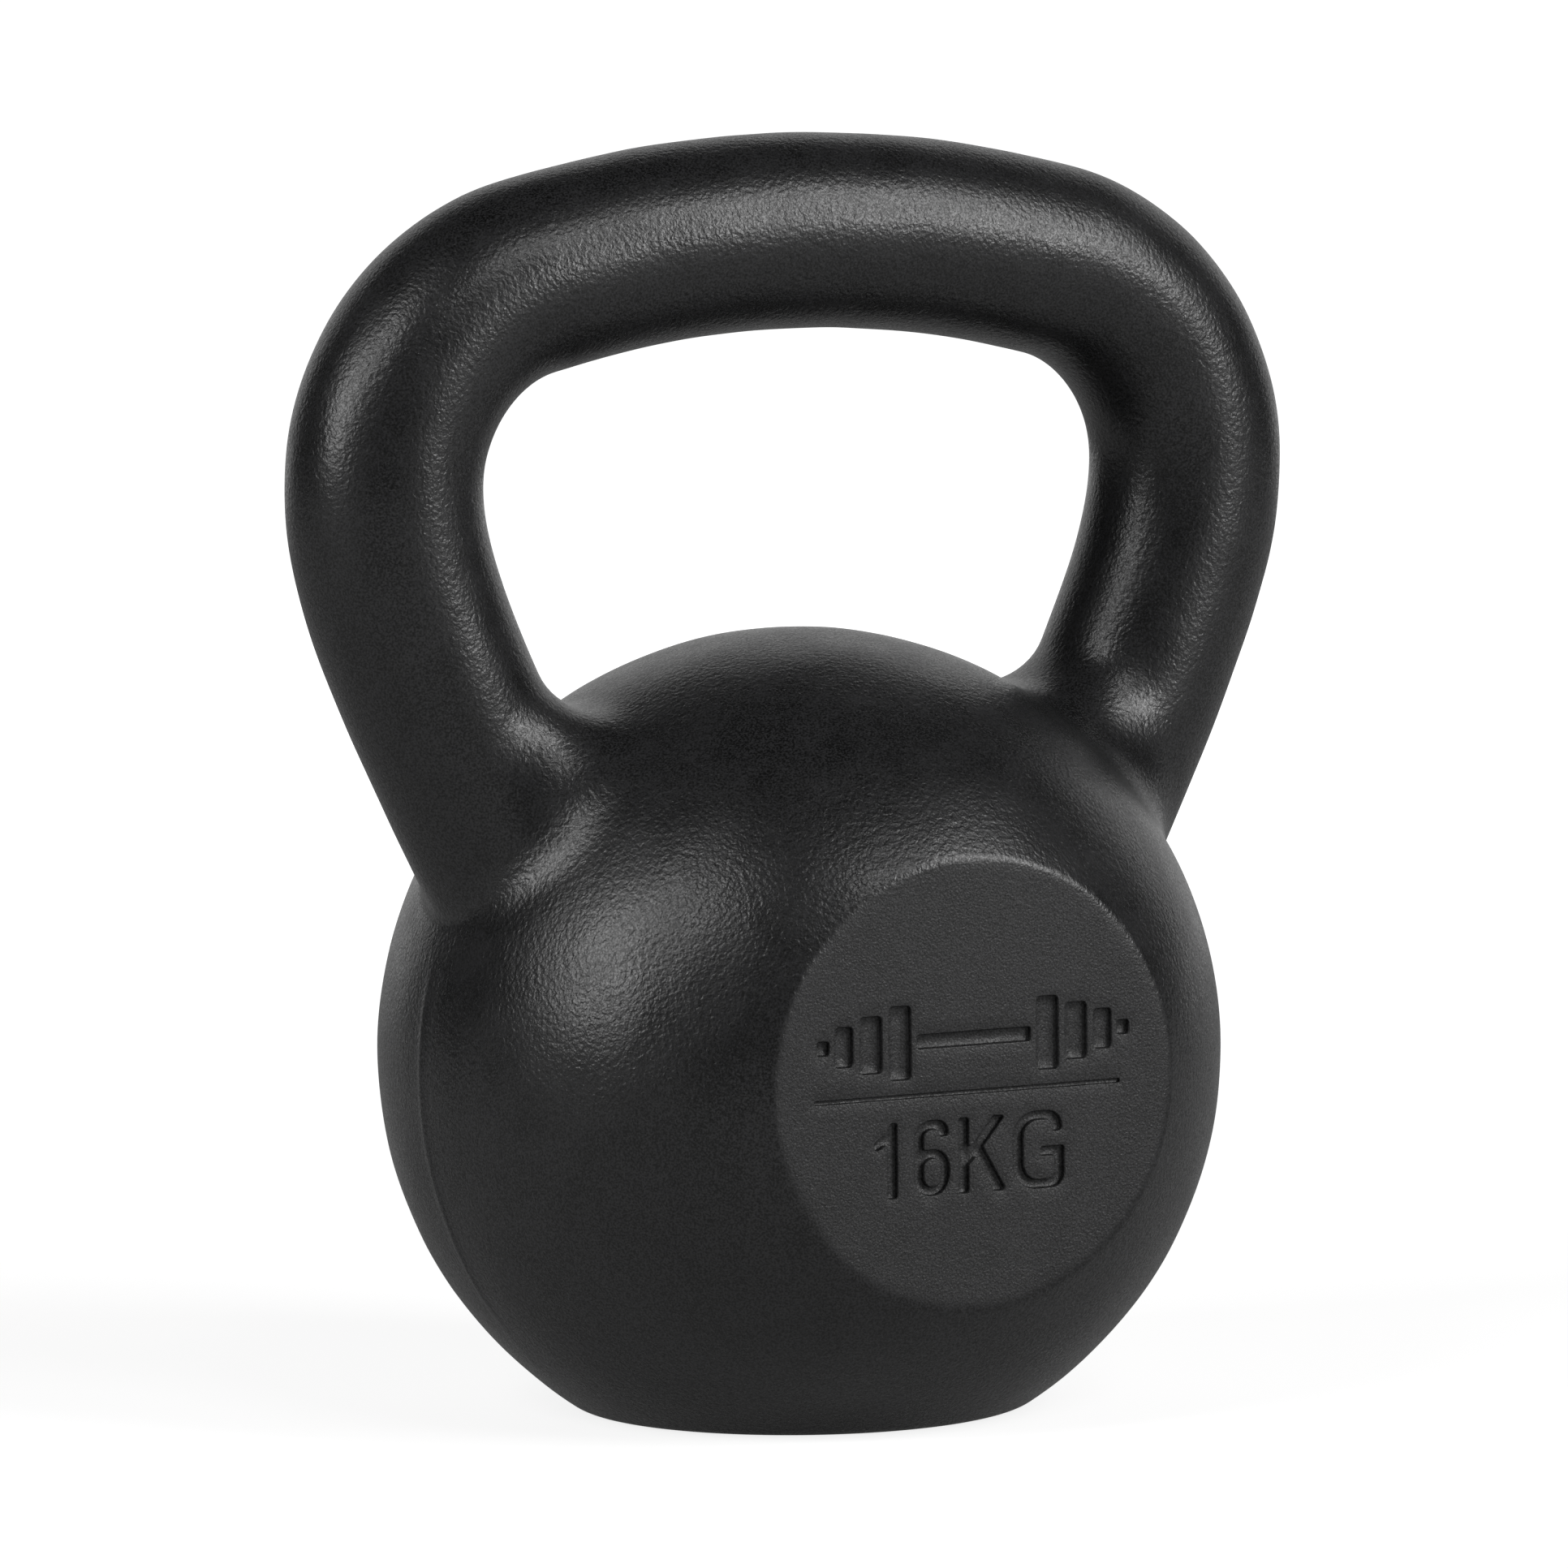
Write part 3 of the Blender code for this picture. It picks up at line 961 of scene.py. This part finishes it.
class Finish:
    """A new material, with short calls for its nodes."""

    def __init__(self, name):
        self.material = bpy.data.materials.new(name)
        self.material.use_nodes = True
        self.tree = self.material.node_tree
        self.shader = self.tree.nodes["Principled BSDF"]
        self.place = self.tree.nodes.new("ShaderNodeTexCoord").outputs["Object"]

    def link(self, source, target):
        self.tree.links.new(source, target)

    def noise(self, size, detail=2.0, roughness=0.5, distortion=0.0):
        """Noise whose lumps are about a size apart, in metres."""
        node = self.tree.nodes.new("ShaderNodeTexNoise")
        node.inputs["Scale"].default_value = 1.0 / size
        node.inputs["Detail"].default_value = detail
        node.inputs["Roughness"].default_value = roughness
        node.inputs["Distortion"].default_value = distortion
        self.link(self.place, node.inputs["Vector"])
        return node.outputs["Fac"]

    def cells(self, size):
        """Cells that are about a size apart, in metres."""
        node = self.tree.nodes.new("ShaderNodeTexVoronoi")
        node.inputs["Scale"].default_value = 1.0 / size
        self.link(self.place, node.inputs["Vector"])
        return node.outputs["Distance"]

    def math(self, operation, first, second):
        node = self.tree.nodes.new("ShaderNodeMath")
        node.operation = operation
        for socket, value in zip(node.inputs, (first, second)):
            if isinstance(value, (int, float)):
                socket.default_value = value
            else:
                self.link(value, socket)
        return node.outputs["Value"]

    def remap(self, value, low, high, to_low, to_high):
        """Takes a value's range to another one, and keeps it within that."""
        node = self.tree.nodes.new("ShaderNodeMapRange")
        for name, number in (
            ("From Min", low),
            ("From Max", high),
            ("To Min", to_low),
            ("To Max", to_high),
        ):
            if isinstance(number, (int, float)):
                node.inputs[name].default_value = number
            else:
                self.link(number, node.inputs[name])
        self.link(value, node.inputs["Value"])
        return node.outputs["Result"]

    def share(self, name):
        node = self.tree.nodes.new("ShaderNodeAttribute")
        node.attribute_name = name
        return node.outputs["Fac"]

    def colour(self, factor, dark, light):
        node = self.tree.nodes.new("ShaderNodeMix")
        node.data_type = "RGBA"
        colours = [socket for socket in node.inputs if socket.type == "RGBA"]
        colours[0].default_value = (*dark, 1.0)
        colours[1].default_value = (*light, 1.0)
        self.link(factor, node.inputs["Factor"])
        result = [socket for socket in node.outputs if socket.type == "RGBA"][0]
        self.link(result, self.shader.inputs["Base Color"])

    def bump(self, height, distance):
        """Raises the surface by a height of 0 to 1 times a distance, in metres."""
        node = self.tree.nodes.new("ShaderNodeBump")
        node.inputs["Distance"].default_value = distance
        node.inputs["Strength"].default_value = 1.0
        self.link(height, node.inputs["Height"])
        self.link(node.outputs["Normal"], self.shader.inputs["Normal"])


def scaled(colour, factor):
    return tuple(channel * factor for channel in colour)


def powder_coat(finish):
    """Black powder coat on cast iron: orange peel over grain, finer and duller on the flats."""
    made = Finish("black_powder_coat")
    flat = made.share("flat_face")
    peel = made.noise(finish.peel_size, detail=1.5, roughness=0.5, distortion=0.3)
    peel = made.remap(peel, 0.28, 0.72, 0.0, 1.0)
    grain = made.noise(0.42 * finish.peel_size, detail=1.0, roughness=0.5, distortion=0.2)
    speck = made.noise(0.4 * finish.peel_size, detail=0.0)
    blotch = made.noise(9.0 * MM, detail=3.0, roughness=0.6)
    peel_share = made.remap(flat, 0.0, 1.0, 1.0, 0.15)
    grain_share = made.remap(flat, 0.0, 1.0, 0.55, 1.5)
    height = made.math(
        "ADD", made.math("MULTIPLY", peel, peel_share), made.math("MULTIPLY", grain, grain_share)
    )
    made.bump(height, finish.peel_height)
    rough = made.remap(flat, 0.0, 1.0, finish.coat_roughness, finish.face_roughness)
    rough = made.math("ADD", rough, made.remap(blotch, 0.3, 0.7, -0.03, 0.03))
    rough = made.math("ADD", rough, made.remap(speck, 0.35, 0.65, 0.06, -0.06))
    made.link(rough, made.shader.inputs["Roughness"])
    made.shader.inputs["Specular IOR Level"].default_value = 0.5
    dark = scaled(finish.coat_colour, 0.15)
    light = scaled(finish.coat_colour, 2.1)
    tone = made.math("ADD", made.math("MULTIPLY", blotch, 0.2), made.math("MULTIPLY", speck, 0.8))
    made.colour(made.remap(tone, 0.36, 0.64, 0.0, 1.0), dark, light)
    return made.material


def plug_coat(finish):
    """The plug's black coat, thinner than the casting's: fine grain over the turned rings."""
    made = Finish("coated_steel_plug")
    grain = made.noise(0.5 * MM, detail=2.0)
    made.bump(grain, 0.03 * MM)
    made.link(made.remap(grain, 0.3, 0.7, 0.36, 0.48), made.shader.inputs["Roughness"])
    blotch = made.noise(4.0 * MM, detail=3.0)
    dark = scaled(finish.coat_colour, 1.2)
    light = scaled(finish.coat_colour, 2.2)
    made.colour(made.remap(blotch, 0.3, 0.7, 0.0, 1.0), dark, light)
    return made.material


def bonded_shot(finish):
    """Iron shot in dark resin: round cells 1.6 mm apart, with resin low between them."""
    made = Finish("bonded_iron_shot")
    grains = made.cells(1.6 * MM)
    height = made.remap(grains, 0.0, 0.6, 1.0, 0.0)
    made.bump(height, 0.5 * MM)
    made.link(made.remap(height, 0.0, 1.0, 0.75, 0.38), made.shader.inputs["Roughness"])
    made.link(made.remap(height, 0.2, 0.5, 0.0, 0.8), made.shader.inputs["Metallic"])
    dark = scaled(finish.iron_colour, 0.25)
    light = scaled(finish.iron_colour, 1.6)
    made.colour(height, dark, light)
    return made.material


def pale_floor(finish):
    """The studio's matt floor: it glows white, and sends less of that on to the object."""
    made = Finish("pale_floor")
    cloud = made.noise(0.4, detail=2.0)
    made.colour(cloud, scaled(finish.floor_colour, 0.97), finish.floor_colour)
    made.shader.inputs["Roughness"].default_value = 1.0
    made.shader.inputs["Specular IOR Level"].default_value = 0.0
    made.shader.inputs["Emission Color"].default_value = (1.0, 1.0, 1.0, 1.0)
    path = made.tree.nodes.new("ShaderNodeLightPath")
    away = made.tree.nodes.new("ShaderNodeVectorMath")
    away.operation = "LENGTH"
    made.link(made.place, away.inputs[0])
    seen = made.remap(away.outputs["Value"], 0.3, 1.2, 0.82, 1.1)
    glow = made.remap(path.outputs["Is Camera Ray"], 0.0, 1.0, 0.10, seen)
    made.link(glow, made.shader.inputs["Emission Strength"])
    return made.material


# The studio

# The camera's place round the bell's centre, and its lens.
CAMERA_AZIMUTH = math.radians(-28.15)
CAMERA_ELEVATION = math.radians(5.38)
CAMERA_ROLL = math.radians(-0.65)
CAMERA_PLACE = (-880.1 * MM, -1640.1 * MM, 224.2 * MM)
CAMERA_LENS = 233.0
CAMERA_SENSOR = 36.0


def camera_axes():
    """The camera's right, up and back, from its azimuth, its elevation and then its roll."""
    a, e, r = CAMERA_AZIMUTH, CAMERA_ELEVATION, CAMERA_ROLL
    back = Vector((math.sin(a) * math.cos(e), -math.cos(a) * math.cos(e), math.sin(e)))
    right = Vector((math.cos(a), math.sin(a), 0.0))
    up = back.cross(right)
    rolled_right = right * math.cos(r) + up * math.sin(r)
    rolled_up = up * math.cos(r) - right * math.sin(r)
    return rolled_right, rolled_up, back


def make_camera(centre):
    data = bpy.data.cameras.new("studio_camera")
    data.lens = CAMERA_LENS
    data.sensor_width = CAMERA_SENSOR
    data.clip_end = 20.0
    data.dof.use_dof = False
    camera = bpy.data.objects.new("studio_camera", data)
    camera.matrix_world = (
        Matrix.Translation(centre + Vector(CAMERA_PLACE))
        @ Matrix(camera_axes()).transposed().to_4x4()
    )
    bpy.context.scene.collection.objects.link(camera)
    bpy.context.scene.camera = camera


# Each softbox: its name, its angles right of the camera and above it in degrees, its width and
# height in metres, and its power in watts. All stand at one distance from the object.
LIGHT_DISTANCE = 2.0
SOFTBOXES = (
    ("left_key", -58.0, 20.0, 0.70, 1.00, 15.0),
    ("left_high", -36.0, 38.0, 0.50, 0.50, 6.0),
    ("right_low", 62.0, 13.0, 0.60, 0.55, 13.0),
    ("right_high", 62.0, 34.0, 0.60, 0.80, 13.0),
    ("front_high", 30.0, 42.0, 0.50, 0.50, 4.5),
    ("backdrop", 180.0, 16.0, 4.20, 2.40, 22.0),
)


def make_softbox(target, name, beside, above, width, height, power):
    """A rectangular light that faces the target; the camera doesn't see it."""
    right, up, back = camera_axes()
    beside, above = math.radians(beside), math.radians(above)
    level = right * math.sin(beside) + back * math.cos(beside)
    offset = level * math.cos(above) + up * math.sin(above)
    data = bpy.data.lights.new(name, "AREA")
    data.shape = "RECTANGLE"
    data.size = width
    data.size_y = height
    data.energy = power
    lamp = bpy.data.objects.new(name, data)
    lamp.location = target + offset * LIGHT_DISTANCE
    lamp.rotation_euler = offset.to_track_quat("Z", "Y").to_euler()
    lamp.visible_camera = False
    bpy.context.scene.collection.objects.link(lamp)


def make_world():
    """A plain white surround that the camera sees; only the softboxes light the object."""
    world = bpy.data.worlds.new("studio_surround")
    bpy.context.scene.world = world
    world.use_nodes = True
    around = world.node_tree.nodes["Background"]
    around.inputs["Color"].default_value = (1.0, 1.0, 1.0, 1.0)
    around.inputs["Strength"].default_value = 1.0
    world.cycles_visibility.diffuse = False
    world.cycles_visibility.glossy = False
    world.cycles_visibility.transmission = False


def make_floor(finish):
    """A square floor at the object's lowest level."""
    half = 30.0
    level = CAD_BOX[0].z
    corners = [(x * half, y * half, level) for x, y in ((-1, -1), (1, -1), (1, 1), (-1, 1))]
    mesh = bpy.data.meshes.new("studio_floor")
    mesh.from_pydata(corners, [], [(0, 1, 2, 3)])
    floor = bpy.data.objects.new("studio_floor", mesh)
    mesh.materials.append(pale_floor(finish))
    bpy.context.scene.collection.objects.link(floor)


class KETTLEBELL_OT_studio(bpy.types.Operator):
    """Makes the floor, the lights, the surround and the camera"""

    bl_idname = "kettlebell.studio"
    bl_label = "Studio"

    def execute(self, context):
        scene = context.scene
        scene.view_settings.view_transform = "Standard"
        shape = scene.kettlebell_shape
        centre = Vector((0.0, 0.0, shape.bell_radius - shape.base_cut))
        make_world()
        make_floor(scene.kettlebell_finish)
        middle = (CAD_BOX[0] + CAD_BOX[1]) / 2.0
        for softbox in SOFTBOXES:
            make_softbox(middle, *softbox)
        make_camera(centre)
        return {"FINISHED"}


# The add-on


class KETTLEBELL_PT_pieces(bpy.types.Panel):
    """Lists the kettlebell's pieces and their sizes"""

    bl_idname = "KETTLEBELL_PT_pieces"
    bl_label = "Kettlebell"
    bl_space_type = "VIEW_3D"
    bl_region_type = "UI"
    bl_category = "Kettlebell"

    def draw(self, context):
        layout = self.layout
        for operator in OPERATORS:
            layout.operator(operator.bl_idname)
        for group in (
            context.scene.kettlebell_shape,
            context.scene.kettlebell_finish,
            context.scene.kettlebell_detail,
        ):
            column = layout.column()
            for name in group.__annotations__:
                column.prop(group, name)


OPERATORS = (
    KETTLEBELL_OT_casting,
    KETTLEBELL_OT_plug,
    KETTLEBELL_OT_shot,
    KETTLEBELL_OT_studio,
)
GROUPS = (KettlebellShape, KettlebellFinish, KettlebellDetail)
CLASSES = GROUPS + OPERATORS + (KETTLEBELL_PT_pieces,)


def register():
    for made in CLASSES:
        bpy.utils.register_class(made)
    bpy.types.Scene.kettlebell_shape = PointerProperty(type=KettlebellShape)
    bpy.types.Scene.kettlebell_finish = PointerProperty(type=KettlebellFinish)
    bpy.types.Scene.kettlebell_detail = PointerProperty(type=KettlebellDetail)


def unregister():
    del bpy.types.Scene.kettlebell_detail
    del bpy.types.Scene.kettlebell_finish
    del bpy.types.Scene.kettlebell_shape
    for made in reversed(CLASSES):
        bpy.utils.unregister_class(made)


def main():
    register()
    bpy.ops.kettlebell.casting()
    bpy.ops.kettlebell.plug()
    bpy.ops.kettlebell.shot()
    bpy.ops.kettlebell.studio()


if __name__ == "__main__":
    main()
